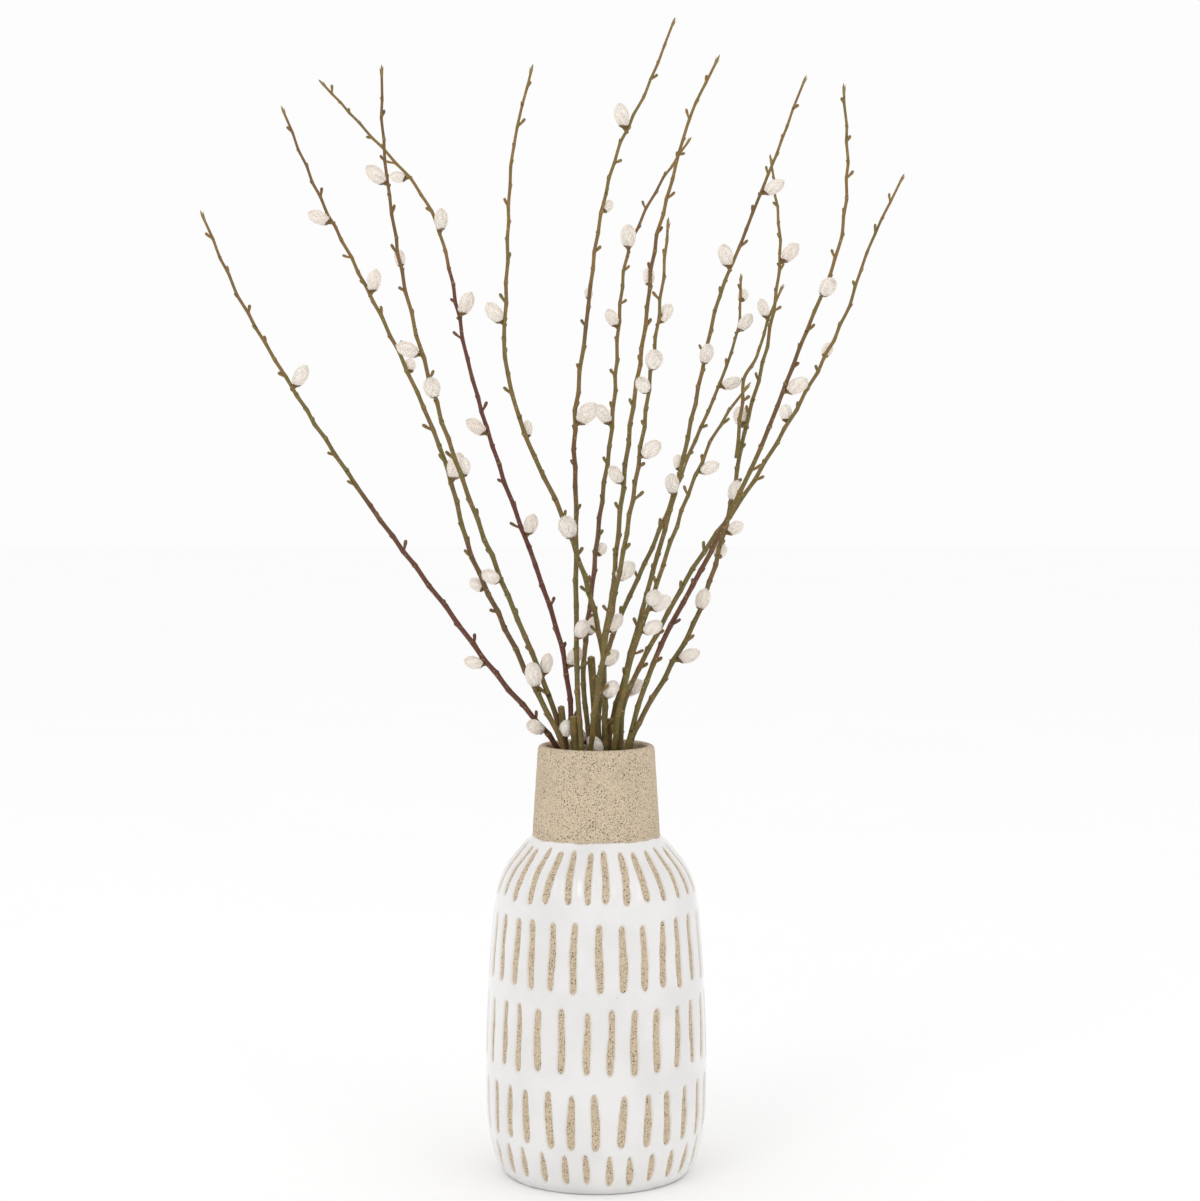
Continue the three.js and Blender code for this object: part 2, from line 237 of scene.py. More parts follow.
class ShootSettings(PropertyGroup):
    base_radius: FloatProperty(
        name="Foot radius", description="Radius of a shoot where it leaves its rod",
        default=1.9 * MM, unit="LENGTH")
    tip_radius: FloatProperty(
        name="Tip radius", description="Radius of a shoot near its tip", default=0.85 * MM, unit="LENGTH")
    kink: FloatProperty(
        name="Kink", description="How far a shoot steps aside at each node",
        default=0.62 * MM, unit="LENGTH")
    node_spacing: FloatProperty(
        name="Node spacing", description="Distance from one node of a shoot to the next",
        default=14.5 * MM, unit="LENGTH")
    bud_length: FloatProperty(
        name="Bud length", description="Length of a spur bud", default=9.3 * MM, unit="LENGTH")
    bud_radius: FloatProperty(
        name="Bud radius", description="Radius of a spur bud at its swelling",
        default=1.4 * MM, unit="LENGTH")
    old_bark: FloatVectorProperty(
        name="Old bark", description="Olive bark low on the shoots", subtype="COLOR", size=3,
        default=(0.130, 0.100, 0.015))
    young_bark: FloatVectorProperty(
        name="Young bark", description="Tan bark high on the shoots", subtype="COLOR", size=3,
        default=(0.275, 0.155, 0.024))
    red_bark: FloatVectorProperty(
        name="Red bark", description="Burgundy bark on the sunny stretches", subtype="COLOR", size=3,
        default=(0.118, 0.020, 0.012))


class CatkinSettings(PropertyGroup):
    hairs: IntProperty(
        name="Hairs", description="Silky hairs on one catkin", default=900, min=0, max=2000)
    hair_length: FloatProperty(
        name="Hair length", description="Length of a silky hair", default=3.0 * MM, unit="LENGTH")
    fatness: FloatProperty(
        name="Fatness", description="Radius of a catkin as a share of its length", default=0.335)
    down_colour: FloatVectorProperty(
        name="Down", description="Colour of the furry down", subtype="COLOR", size=3,
        default=(0.94, 0.885, 0.82))
    scale_colour: FloatVectorProperty(
        name="Bud scale", description="Colour of the scale that cups a catkin's foot", subtype="COLOR",
        size=3, default=(0.20, 0.10, 0.03))


class StageSettings(PropertyGroup):
    floor_colour: FloatVectorProperty(
        name="Floor", description="Colour of the plain floor", subtype="COLOR", size=3,
        default=(0.99, 0.99, 0.99))
    camera_distance: FloatProperty(
        name="Camera distance", description="From the camera to the vase's axis",
        default=1.7, unit="LENGTH")
    camera_height: FloatProperty(
        name="Camera height", description="Height of the camera above the floor",
        default=0.492, unit="LENGTH")
    camera_aside: FloatProperty(
        name="Camera aside", description="How far right of the vase's axis the camera stands",
        default=2.6 * MM, unit="LENGTH")
    camera_pitch: FloatProperty(
        name="Camera pitch", description="How far the camera looks down", default=math.radians(3.28),
        subtype="ANGLE")
    lens: FloatProperty(
        name="Lens", description="Focal length in millimetres on a sensor 36 mm wide", default=74.55)


# ---------------------------------------------------------------------------
# Small tools
# ---------------------------------------------------------------------------


def settings():
    return bpy.context.scene.willow_settings


def smoothstep(low, high, value):
    way = np.clip((value - low) / (high - low), 0.0, 1.0)
    return way * way * (3 - 2 * way)


def new_mesh(name, vertices, faces, materials, material_index=None, flat=slice(0), tones=None):
    """A mesh from points in millimetres, smooth-shaded apart from its flat stretch of faces."""
    mesh = bpy.data.meshes.new(name)
    mesh.from_pydata([tuple(point) for point in np.asarray(vertices) * MM], [], faces)
    for material in materials:
        mesh.materials.append(material)
    if material_index is not None:
        mesh.polygons.foreach_set("material_index", np.asarray(material_index, dtype=np.int32))
    smooth = np.ones(len(mesh.polygons), dtype=bool)
    smooth[flat] = False
    mesh.polygons.foreach_set("use_smooth", smooth)
    if tones is not None:
        layer = mesh.color_attributes.new(TONE_LAYER, "FLOAT_COLOR", "POINT")
        layer.data.foreach_set("color", np.asarray(tones, dtype=np.float32).ravel())
    mesh.validate()
    mesh.update()
    return mesh


def new_piece(name, mesh, replaces=(), place=None):
    """Makes a piece of a mesh, sets it in its place if it has one, and hangs it in the frame."""
    piece = bpy.data.objects.new(name, mesh)
    bpy.context.scene.collection.objects.link(piece)
    if place is not None:
        piece.matrix_world = place
    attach(piece, BODY)
    if replaces:
        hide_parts(*replaces)


def grid_faces(rows, columns, offset=0):
    """Quads of a grid of rows, each a closed ring of columns."""
    faces = []
    for row in range(rows - 1):
        low = offset + row * columns
        high = low + columns
        for column in range(columns):
            after = (column + 1) % columns
            faces.append((low + column, low + after, high + after, high + column))
    return faces


def closed_faces(rows, columns):
    """Faces of a skin whose rings of columns lie between a first point and a last one."""
    faces = grid_faces(rows, columns, 1)
    last = 1 + rows * columns
    for column in range(columns):
        after = (column + 1) % columns
        faces.append((0, 1 + after, 1 + column))
        faces.append((last, last - columns + column, last - columns + after))
    return faces


def spline(points, count):
    """Points along a uniform Catmull-Rom spline through the given ones, ends included."""
    points = np.asarray(points, dtype=float)
    padded = np.vstack([points[:1], points, points[-1:]])
    ways = np.linspace(0, len(points) - 1, count)
    result = []
    for way in ways:
        index = min(int(way), len(points) - 2)
        t = way - index
        a, b, c, d = padded[index:index + 4]
        result.append(0.5 * (2 * b + (c - a) * t + (2 * a - 5 * b + 4 * c - d) * t ** 2
                             + (3 * b - a - 3 * c + d) * t ** 3))
    return np.array(result)


def route_curve(points, per_span=24):
    """Points along a centripetal Catmull-Rom curve, as the frame's own routes are drawn."""
    points = np.asarray(points, dtype=float)
    padded = np.vstack([2 * points[0] - points[1], points, 2 * points[-1] - points[-2]])
    result = [points[0]]
    for index in range(len(points) - 1):
        p = padded[index:index + 4]
        knots = [0.0]
        for a, b in zip(p[:-1], p[1:]):
            knots.append(knots[-1] + math.sqrt(np.linalg.norm(b - a)))
        for step in range(1, per_span + 1):
            t = knots[1] + (knots[2] - knots[1]) * step / per_span
            result.append(centripetal(p, knots, t))
    return np.array(result)


def between(first, second, low, high, t):
    """The first point where t is low, the second where it is high, and evenly between them."""
    return ((high - t) * first + (t - low) * second) / (high - low)


def centripetal(p, knots, t):
    """The point at t of the curve through four points, each with its knot."""
    pairs = [between(p[i], p[i + 1], knots[i], knots[i + 1], t) for i in range(3)]
    threes = [between(pairs[i], pairs[i + 1], knots[i], knots[i + 2], t) for i in range(2)]
    return between(threes[0], threes[1], knots[1], knots[2], t)


def lengths_along(points):
    """How far along the path each of its points lies."""
    steps = np.linalg.norm(np.diff(points, axis=0), axis=1)
    return np.concatenate([[0], np.cumsum(steps)])


def at_lengths(wanted, lengths, points):
    """The path's places at the wanted lengths along it."""
    return np.column_stack([np.interp(wanted, lengths, coordinate) for coordinate in points.T])


def resample(points, distances):
    """The curve's points at the given distances along it, with its directions there."""
    lengths = lengths_along(points)
    places = at_lengths(distances, lengths, points)
    along = at_lengths(distances + 1.0, lengths, points) - at_lengths(distances - 1.0, lengths, points)
    return places, along / np.linalg.norm(along, axis=1)[:, None]


def curve_length(points):
    return float(np.linalg.norm(np.diff(points, axis=0), axis=1).sum())


def unit(vector):
    return vector / np.linalg.norm(vector)


def outward_from(along, bearing):
    """The direction square to a stem that faces a bearing in degrees."""
    flat = np.array([math.cos(math.radians(bearing)), math.sin(math.radians(bearing)), 0.0])
    return unit(flat - along * flat.dot(along))


class Builder:
    """Gathers tubes and scales into one mesh, with a tone for each point and a finish for each face."""

    first_side = 17.0         # bearing of a tube's first side, where none is asked for
    foot_cap = 0.2            # how far a tube's ends stand out, as shares of its radius
    top_cap = 0.35

    def __init__(self):
        self.vertices = []
        self.faces = []
        self.tones = []
        self.indices = []

    def add(self, vertices, faces, tones, index=0):
        offset = len(self.vertices)
        self.vertices.extend(vertices)
        self.tones.extend(tones)
        self.faces.extend(tuple(offset + corner for corner in face) for face in faces)
        self.indices.extend([index] * len(faces))

    def tube(self, path, radii, sides, tones, index=0, across=None):
        """A closed tube along a path of points, capped by a point at each end."""
        path = np.asarray(path)
        along = np.gradient(path, axis=0)
        along /= np.linalg.norm(along, axis=1)[:, None]
        side = outward_from(along[0], self.first_side) if across is None else across
        vertices = [path[0] - along[0] * radii[0] * self.foot_cap]
        ring_tones = [tones[0]]
        angles = np.arange(sides) * TURN / sides
        for place, direction, radius, tone in zip(path, along, radii, tones):
            side = unit(side - direction * side.dot(direction))
            other = np.cross(direction, side)
            for angle in angles:
                vertices.append(place + (side * math.cos(angle) + other * math.sin(angle)) * radius)
                ring_tones.append(tone)
        vertices.append(path[-1] + along[-1] * radii[-1] * self.top_cap)
        ring_tones.append(tones[-1])
        self.add(vertices, closed_faces(len(path), sides), ring_tones, index)


# ---------------------------------------------------------------------------
# Finishes
# ---------------------------------------------------------------------------

NOISE_ROUGHNESS = 0.55

# Iron specks of three sizes: how fine, how many of them are left out, how far they reach and how dark.
IRON_SPECKS = ((520.0, 0.68, 0.52, 1.0), (820.0, 0.58, 0.58, 0.92), (1300.0, 0.45, 0.60, 0.7))


def new_material(name):
    material = bpy.data.materials.new(name)
    material.use_nodes = True
    tree = material.node_tree
    return material, tree, tree.nodes["Principled BSDF"]


def shade(colour, factor):
    """The colour made darker or paler by a factor."""
    return tuple(factor * value for value in colour)


def mix_colours(tree, factor, first, second):
    """A colour mix; factor, first and second are sockets or values."""
    made = tree.nodes.new("ShaderNodeMix")
    made.data_type = "RGBA"
    for socket, value in ((made.inputs[0], factor), (made.inputs[6], first), (made.inputs[7], second)):
        if isinstance(value, bpy.types.NodeSocket):
            tree.links.new(value, socket)
        elif isinstance(value, (int, float)):
            socket.default_value = value
        else:
            socket.default_value = (*value, 1.0)
    return made.outputs[2]


def ramp(tree, source, low, high, low_value=0.0, high_value=1.0):
    """Maps a socket's values between low and high to a smooth 0 to 1."""
    made = tree.nodes.new("ShaderNodeMapRange")
    made.interpolation_type = "SMOOTHSTEP"
    made.inputs["From Min"].default_value = low
    made.inputs["From Max"].default_value = high
    made.inputs["To Min"].default_value = low_value
    made.inputs["To Max"].default_value = high_value
    tree.links.new(source, made.inputs["Value"])
    return made.outputs["Result"]


def object_point(tree, stretch=(1, 1, 1)):
    place = tree.nodes.new("ShaderNodeTexCoord")
    mapping = tree.nodes.new("ShaderNodeMapping")
    mapping.inputs["Scale"].default_value = stretch
    tree.links.new(place.outputs["Object"], mapping.inputs["Vector"])
    return mapping.outputs["Vector"]


def noise(tree, vector, scale, detail):
    made = tree.nodes.new("ShaderNodeTexNoise")
    made.inputs["Scale"].default_value = scale
    made.inputs["Detail"].default_value = detail
    made.inputs["Roughness"].default_value = NOISE_ROUGHNESS
    tree.links.new(vector, made.inputs["Vector"])
    return made.outputs["Fac"]


def specks(tree, vector, scale):
    """Distance to the nearest of many scattered points, in cells, and that point's own random colour."""
    made = tree.nodes.new("ShaderNodeTexVoronoi")
    made.inputs["Scale"].default_value = scale
    tree.links.new(vector, made.inputs["Vector"])
    return made.outputs["Distance"], made.outputs["Color"]


def maths(tree, operation, first, second):
    made = tree.nodes.new("ShaderNodeMath")
    made.operation = operation
    for socket, value in zip(made.inputs, (first, second)):
        if isinstance(value, bpy.types.NodeSocket):
            tree.links.new(value, socket)
        else:
            socket.default_value = value
    return made.outputs[0]


def separate(tree, colour, channel):
    made = tree.nodes.new("ShaderNodeSeparateColor")
    tree.links.new(colour, made.inputs["Color"])
    return made.outputs[channel]


def mesh_tone(tree):
    """The red, green and blue of the mesh's own tone layer."""
    made = tree.nodes.new("ShaderNodeAttribute")
    made.attribute_name = TONE_LAYER
    made.attribute_type = "GEOMETRY"
    return [separate(tree, made.outputs["Color"], channel) for channel in range(3)]


def bump(tree, shader, height, distance, strength):
    made = tree.nodes.new("ShaderNodeBump")
    made.inputs["Distance"].default_value = distance
    made.inputs["Strength"].default_value = strength
    tree.links.new(height, made.inputs["Height"])
    tree.links.new(made.outputs["Normal"], shader.inputs["Normal"])


def cover(tree, shader, colour, roughness):
    tree.links.new(colour, shader.inputs["Base Color"])
    tree.links.new(roughness, shader.inputs["Roughness"])


def clay_finish():
    """Sandy fired clay, full of dark iron specks and a few pale grains."""
    clay = settings().vase.clay_colour
    material, tree, shader = new_material("speckled_clay")
    place = object_point(tree)
    cloud = noise(tree, place, 38.0, 4.0)
    grain = noise(tree, place, 1300.0, 2.0)
    ground = mix_colours(tree, ramp(tree, cloud, 0.35, 0.65), shade(clay, 0.9), clay)
    ground = mix_colours(tree, ramp(tree, grain, 0.50, 0.66), ground, shade(clay, 1.16))
    ground = mix_colours(tree, ramp(tree, grain, 0.47, 0.36), ground, shade(clay, 0.74))
    # A fine noise draws the specks out of round.
    warp = maths(tree, "MULTIPLY", noise(tree, place, 1600.0, 2.0), 0.4)
    edge = 0.16
    dots = 0.0
    for fineness, left_out, reach, darkness in IRON_SPECKS:
        distance, hue = specks(tree, place, fineness)
        keep = ramp(tree, separate(tree, hue, 0), left_out, left_out + 0.03)
        dot = ramp(tree, maths(tree, "ADD", distance, warp), reach, reach - edge)
        dot = maths(tree, "MULTIPLY", maths(tree, "MULTIPLY", dot, keep), darkness)
        dots = maths(tree, "MAXIMUM", dot, dots)
    ground = mix_colours(tree, dots, ground, settings().vase.speckle_colour)
    cover(tree, shader, ground, ramp(tree, grain, 0.3, 0.7, 0.78, 0.95))
    sand = maths(tree, "MULTIPLY", grain, 0.7)
    bump(tree, shader, maths(tree, "SUBTRACT", sand, maths(tree, "MULTIPLY", dots, 0.35)), 0.22 * MM, 0.8)
    shader.inputs["Specular IOR Level"].default_value = 0.3
    return material


def glaze_finish():
    """Thick glossy white glaze, a little uneven, with a few pinholes."""
    glaze = settings().vase.glaze_colour
    clay_shows_through = (0.66, 0.585, 0.48)
    pit_colour = (0.30, 0.24, 0.17)
    material, tree, shader = new_material("white_glaze")
    place = object_point(tree)
    cloud = noise(tree, place, 22.0, 3.0)
    thin_edge = mesh_tone(tree)[0]
    pits, pits_hue = specks(tree, place, 140.0)
    keep = ramp(tree, separate(tree, pits_hue, 0), 0.90, 0.92)
    pinhole = maths(tree, "MULTIPLY", ramp(tree, pits, 0.075, 0.045), keep)
    ripple = noise(tree, place, 120.0, 2.0)
    ground = mix_colours(tree, ramp(tree, cloud, 0.35, 0.62), shade(glaze, 0.93), glaze)
    ground = mix_colours(tree, thin_edge, ground, clay_shows_through)
    ground = mix_colours(tree, maths(tree, "MULTIPLY", pinhole, 0.8), ground, pit_colour)
    cover(tree, shader, ground, ramp(tree, ripple, 0.3, 0.7, 0.10, 0.2))
    bump(tree, shader, maths(tree, "SUBTRACT", ripple, pinhole), 0.35 * MM, 0.55)
    shader.inputs["Coat Weight"].default_value = 0.35
    shader.inputs["Coat Roughness"].default_value = 0.06
    shader.inputs["IOR"].default_value = 1.52
    return material


def bark_finish(name="willow_bark", gloss=0.5):
    """Smooth willow bark: olive when old, tan when young, burgundy in the sun, with pale pores."""
    shoot = settings().shoot
    tan = (0.29, 0.14, 0.04)
    rust = (0.20, 0.095, 0.032)
    moss = (0.15, 0.135, 0.02)
    new_growth = (0.31, 0.225, 0.065)
    grime = (0.045, 0.03, 0.014)
    pore_colour = (0.50, 0.38, 0.22)
    material, tree, shader = new_material(name)
    place = object_point(tree)
    red, young, tip = mesh_tone(tree)
    fine = noise(tree, object_point(tree, (1, 1, 0.25)), 1800.0, 3.0)
    ground = mix_colours(tree, young, shoot.old_bark, shoot.young_bark)
    for fineness, detail, low, high, share, colour in (
            (160.0, 3.0, 0.45, 0.66, 0.55, tan),
            (32.0, 2.0, 0.50, 0.62, 0.42, rust),
            (55.0, 2.0, 0.48, 0.62, 0.55, moss)):
        patch = ramp(tree, noise(tree, place, fineness, detail), low, high, 0.0, share)
        ground = mix_colours(tree, patch, ground, colour)
    ground = mix_colours(tree, red, ground, shoot.red_bark)
    ground = mix_colours(tree, tip, ground, new_growth)
    ground = mix_colours(tree, ramp(tree, fine, 0.35, 0.75, 0.0, 0.42), ground, grime)
    pores, pores_hue = specks(tree, place, 560.0)
    keep = ramp(tree, separate(tree, pores_hue, 0), 0.72, 0.76)
    pore = maths(tree, "MULTIPLY", ramp(tree, pores, 0.30, 0.16), keep)
    ground = mix_colours(tree, maths(tree, "MULTIPLY", pore, 0.6), ground, pore_colour)
    cover(tree, shader, ground, ramp(tree, fine, 0.3, 0.7, gloss - 0.07, gloss + 0.18))
    bump(tree, shader, maths(tree, "ADD", fine, pore), 0.12 * MM, 0.7)
    return material


def down_finish():
    """Silky silver-white down, warmer and darker near the catkin's foot."""
    down = settings().catkin.down_colour
    silver = (0.965, 0.93, 0.88)
    warm = (0.90, 0.79, 0.69)
    material, tree, shader = new_material("catkin_down")
    place = object_point(tree)
    coordinates = tree.nodes.new("ShaderNodeSeparateXYZ")
    tree.links.new(place, coordinates.inputs[0])
    from_foot = ramp(tree, coordinates.outputs["Z"], 0.2 * MM, 5.0 * MM)
    tuft = noise(tree, place, 900.0, 2.0)
    own_share = maths(tree, "MULTIPLY", tree.nodes.new("ShaderNodeObjectInfo").outputs["Random"], 0.28)
    ground = mix_colours(tree, from_foot, shade(down, 0.92), down)
    ground = mix_colours(tree, ramp(tree, tuft, 0.40, 0.72, 0.0, 0.55), ground, silver)
    ground = mix_colours(tree, own_share, ground, warm)
    cover(tree, shader, ground, ramp(tree, tuft, 0.3, 0.7, 0.75, 0.95))
    bump(tree, shader, tuft, 0.1 * MM, 0.12)
    shader.inputs["Sheen Weight"].default_value = 0.55
    shader.inputs["Sheen Roughness"].default_value = 0.4
    shader.inputs["Specular IOR Level"].default_value = 0.25
    return material


def scale_finish():
    """The glossy brown scale that cups a catkin's foot."""
    brown = settings().catkin.scale_colour
    material, tree, shader = new_material("bud_scale")
    streak = noise(tree, object_point(tree, (1, 1, 0.3)), 1400.0, 3.0)
    ground = mix_colours(tree, ramp(tree, streak, 0.35, 0.65), shade(brown, 0.45), brown)
    cover(tree, shader, ground, ramp(tree, streak, 0.3, 0.7, 0.35, 0.55))
    bump(tree, shader, streak, 0.1 * MM, 0.6)
    return material


def cut_wood_finish():
    """Weathered end grain on the rods' cut tops."""
    dark = (0.16, 0.115, 0.045)
    pale = (0.34, 0.26, 0.13)
    material, tree, shader = new_material("cut_wood")
    grain = noise(tree, object_point(tree), 700.0, 4.0)
    ground = mix_colours(tree, ramp(tree, grain, 0.35, 0.65), dark, pale)
    cover(tree, shader, ground, ramp(tree, grain, 0.3, 0.7, 0.7, 0.9))
    bump(tree, shader, grain, 0.2 * MM, 0.8)
    return material


def floor_finish():
    """Plain matt floor, hardly clouded."""
    pale = settings().stage.floor_colour
    material, tree, shader = new_material("studio_floor")
    haze = noise(tree, object_point(tree), 3.0, 2.0)
    ground = mix_colours(tree, ramp(tree, haze, 0.3, 0.7), shade(pale, 0.995), pale)
    tree.links.new(ground, shader.inputs["Base Color"])
    shader.inputs["Roughness"].default_value = 0.9
    shader.inputs["Specular IOR Level"].default_value = 0.1
    return material


# ---------------------------------------------------------------------------
# Stage
# ---------------------------------------------------------------------------

SENSOR_WIDTH = 36.0
FLOOR_REACH = 12.0        # metres from the vase to the floor's edge


def add_softbox(name, place, target, size, power):
    data = bpy.data.lights.new(name, "AREA")
    data.shape = "RECTANGLE"
    data.size, data.size_y = size
    data.energy = power
    lamp = bpy.data.objects.new(name, data)
    lamp.location = place
    lamp.rotation_euler = (Vector(target) - Vector(place)).to_track_quat("-Z", "Y").to_euler()
    bpy.context.scene.collection.objects.link(lamp)


class WILLOW_OT_stage(Operator):
    """Set up the camera, the pale floor and the soft studio light"""

    bl_idname = "willow.make_stage"
    bl_label = "Stage"

    def execute(self, context):
        stage = settings().stage
        scene = context.scene
        data = bpy.data.cameras.new("camera")
        data.lens = stage.lens
        data.sensor_width = SENSOR_WIDTH
        camera = bpy.data.objects.new("camera", data)
        camera.location = (stage.camera_aside, -stage.camera_distance, stage.camera_height)
        camera.rotation_euler = (math.pi / 2 - stage.camera_pitch, 0, 0)
        scene.collection.objects.link(camera)
        scene.camera = camera

        mesh = bpy.data.meshes.new("floor")
        signs = ((-1, -1), (1, -1), (1, 1), (-1, 1))
        corners = [(x * FLOOR_REACH, y * FLOOR_REACH, 0) for x, y in signs]
        mesh.from_pydata(corners, [], [(0, 1, 2, 3)])
        mesh.materials.append(floor_finish())
        floor = bpy.data.objects.new("floor", mesh)
        scene.collection.objects.link(floor)

        world = bpy.data.worlds.new("studio")
        world.use_nodes = True
        sky = world.node_tree.nodes["Background"]
        sky.inputs["Color"].default_value = (1, 1, 1, 1)
        sky.inputs["Strength"].default_value = 0.98
        scene.world = world
        middle = (0, 0, 0.35)
        add_softbox("key_light", (-1.3, -2.0, 2.1), middle, (1.0, 1.0), 7)
        add_softbox("fill_light", (1.7, -1.8, 1.5), middle, (0.8, 1.2), 2.5)
        scene.view_settings.view_transform = "Standard"
        return {"FINISHED"}


# ---------------------------------------------------------------------------
# Vase
# ---------------------------------------------------------------------------


NO_DASH = 40.0            # a distance that stands for no dash nearby
DASH_REACH = 9.0          # how far beyond a dash's ends its edge is worked out
GLAZE_COLUMNS, GLAZE_ROWS = 424, 214
POT_COLUMNS, POT_ROWS = 220, 110
TUCKED_ROWS = 10          # rings of the glaze's hidden inner face, which closes it
GLAZE_FOOT = 0.15         # the glaze stops this far above the table


def outer_profile(count):
    """Evenly spaced (radius, height) points up the pot's outer side, foot to crease."""
    dense = spline(OUTER_SIDE, 600)
    lengths = lengths_along(dense)
    return at_lengths(np.linspace(0, lengths[-1], count), lengths, dense)


def profile_normals(points):
    """Which way each point of the outer side faces."""
    along = np.gradient(points, axis=0)
    along /= np.linalg.norm(along, axis=1)[:, None]
    return np.column_stack([along[:, 1], -along[:, 0]])


def dash_distance(points, columns, width, random):
    """How far each point of the side lies outside the nearest bare dash; negative inside one."""
    radius, height = points[:, 0], points[:, 1]
    lengths = lengths_along(points)
    angles = np.arange(columns) * TURN / columns
    nearest = np.full((len(points), columns), NO_DASH)
    for row in DASH_ROWS:
        pitch = TURN / row["count"]
        blunt = row["blunt"]
        for index in range(row["count"]):
            # Each dash is cut by hand: a little off its place, and with its own length, width and lean.
            centre = math.radians(row["first"]) + index * pitch + random.normal(0, 0.013)
            low = np.interp(row["low"] + random.uniform(-1.4, 1.4), height, lengths)
            high = np.interp(row["high"] + random.uniform(-1.6, 1.4), height, lengths)
            half = 0.5 * width * row["width"] * random.uniform(0.88, 1.08)
            lean = random.normal(0, 0.02)
            waves = random.uniform(0, TURN, 3)
            swell = random.uniform(0.03, 0.09, 2)
            top_share = random.uniform(0.74, 0.92)
            spread = (angles - centre + math.pi) % TURN - math.pi
            near = np.where(np.abs(spread) < 1.1 * pitch)[0]
            rows = np.where((lengths > low - DASH_REACH) & (lengths < high + DASH_REACH))[0]
            along = lengths[rows][:, None]
            way = 2 * (along - low) / (high - low) - 1
            across = spread[near][None, :] * radius[rows][:, None] - lean * (along - 0.5 * (low + high))
            across = across - 0.35 * np.sin(along * 0.14 + waves[0])
            slow = swell[0] * np.sin(along * 0.24 + waves[1])
            quick = 0.5 * swell[1] * np.sin(along * 0.71 + waves[2])
            hand = 1 + slow + quick
            girth = half * hand * (top_share + (1 - top_share) * smoothstep(0.9, -0.2, way))
            field = (across / girth) ** 2 + np.abs(way) ** blunt - 1
            steep = np.hypot(2 * across / girth ** 2, blunt * np.abs(way) ** (blunt - 1) * 2 / (high - low))
            distance = np.clip(field / np.maximum(steep, 0.08), -6, NO_DASH)
            block = nearest[np.ix_(rows, near)]
            nearest[np.ix_(rows, near)] = np.minimum(block, distance)
    return nearest


def ring_points(radius, height, angles):
    heights = np.broadcast_to(height, angles.shape)
    return np.column_stack([radius * np.sin(angles), -radius * np.cos(angles), heights])


def glaze_lift(points, angles, distance, vase):
    """How far the glaze's face stands from the outer side: dipped at the dashes, beaded beside them."""
    height = points[:, 1][:, None]
    thick = vase.glaze_thickness / MM
    bead = vase.glaze_bead / MM
    rise = thick * smoothstep(-0.1, 0.75, distance) + bead * np.exp(-((distance - 1.25) / 0.9) ** 2)
    sink = -0.55 * smoothstep(0.15, -0.9, distance)
    ripple = (0.10 * np.sin(7 * angles[None, :] + height * 0.05)
              + 0.07 * np.sin(13 * angles[None, :] - height * 0.11)
              + 0.06 * np.sin(height * 0.23 + 3 * angles[None, :]))
    return rise + sink + np.where(distance > 0, ripple * smoothstep(0, 3, distance), 0) - thick


def glaze_skin(vase):
    """The glaze: a thick skin over shoulder and body that dips under the clay at every dash."""
    random = np.random.default_rng(7)
    points = outer_profile(GLAZE_ROWS)
    normals = profile_normals(points)
    angles = np.arange(GLAZE_COLUMNS) * TURN / GLAZE_COLUMNS
    distance = dash_distance(points, GLAZE_COLUMNS, vase.dash_width / MM, random)
    # The glaze's upper edge wanders along the crease.
    edge = (CREASE_HEIGHT + 0.4 + 0.5 * np.sin(3 * angles + 1.0) + 0.35 * np.sin(8 * angles)
            + 0.25 * np.sin(17 * angles + 2.0))[None, :]
    distance = np.minimum(distance, (edge - points[:, 1][:, None]) * 1.2)
    lift = glaze_lift(points, angles, distance, vase)
    vertices = []
    for row in range(GLAZE_ROWS):
        radius = points[row, 0] + lift[row] * normals[row, 0]
        level = np.maximum(points[row, 1] + lift[row] * normals[row, 1], GLAZE_FOOT)
        vertices.append(ring_points(radius, level, angles))
    for way in np.linspace(1, 0, TUCKED_ROWS):
        index = int(round(way * (GLAZE_ROWS - 1)))
        radius = points[index, 0] - 2.6 * normals[index, 0] - 0.4
        level = points[index, 1] - 2.6 * normals[index, 1]
        vertices.append(ring_points(np.full(GLAZE_COLUMNS, radius), max(level, 1.2), angles))
    total = GLAZE_ROWS + TUCKED_ROWS
    faces = grid_faces(total, GLAZE_COLUMNS)
    last = (total - 1) * GLAZE_COLUMNS
    for column in range(GLAZE_COLUMNS):
        after = (column + 1) % GLAZE_COLUMNS
        faces.append((last + column, last + after, after, column))
    warm = smoothstep(0.75, -0.1, distance).ravel()
    warm = np.concatenate([warm * 0.85, np.zeros(TUCKED_ROWS * GLAZE_COLUMNS)])
    tones = np.column_stack([warm, warm, warm, np.ones_like(warm)])
    return np.vstack(vertices), faces, tones


